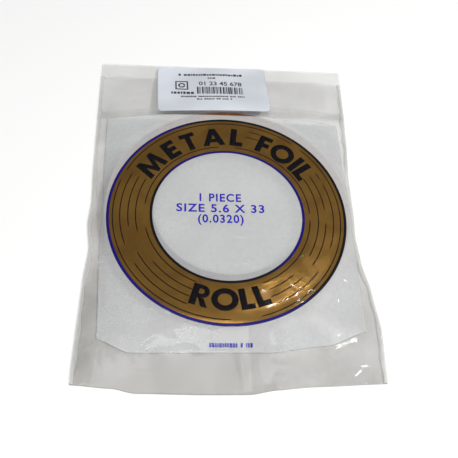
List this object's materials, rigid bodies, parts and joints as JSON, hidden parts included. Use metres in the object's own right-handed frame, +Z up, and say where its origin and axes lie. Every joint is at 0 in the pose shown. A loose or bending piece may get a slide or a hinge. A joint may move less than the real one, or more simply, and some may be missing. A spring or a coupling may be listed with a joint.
{
  "type": "copper foil tape roll",
  "caption": "Roll of narrow adhesive-backed copper foil tape on a ring core, in a milky printed bag inside a clear bag with a fold-over flap and a label.",
  "frame": {"origin": "under the middle of the outer bag's bounding box, on the surface the bag lies on", "axes": "+Z up, out of the printed front; +Y along the bag's length towards the folded top; +X to the right of someone who reads the print"},
  "size_m": [0.143, 0.1926, 0.0095],
  "materials": {
    "outer_film": "clear polypropylene film, glossy, slightly creased",
    "inner_film": "milky low-density polyethylene film",
    "adhesive": "clear pressure-sensitive adhesive strip",
    "label_paper": "white coated label paper with black thermal print",
    "copper_ink": "copper-bronze metallic printing ink",
    "dark_ink": "navy and black printing ink",
    "core_card": "white wound card core",
    "copper_foil": "bright copper foil, cut edges outwards",
    "liner_paper": "tan release paper"
  },
  "bodies": {
    "bag": {"outer_back_film": "outer_film", "outer_front_film": "outer_film", "outer_seal_left": "outer_film", "outer_seal_right": "outer_film", "outer_bottom_fold": "outer_film", "inner_back_film": "inner_film", "inner_front_film": "inner_film", "inner_seal_left": "inner_film", "inner_seal_right": "inner_film", "inner_seal_bottom": "inner_film", "ring_print": "copper_ink", "ring_outline_inner": "dark_ink", "ring_outline_outer": "dark_ink"},
    "flap": {"outer_flap": "outer_film", "flap_adhesive_strip": "adhesive", "price_label": "label_paper"},
    "roll": {"core": "core_card", "foil_strip": "copper_foil", "liner_strip": "liner_paper"}
  },
  "joints": [
    {"name": "flap_fold", "type": "hinge", "parent": "bag", "child": "flap", "pos_m": [0, 0.09567, 0.0006], "axis": [-1, 0, 0], "range_deg": [0, 165]},
    {"name": "roll_spin", "type": "hinge", "parent": "bag", "child": "roll", "pos_m": [0.001, -0.00562, 0.00378], "axis": [0, 0, 1], "continuous": true}
  ]
}
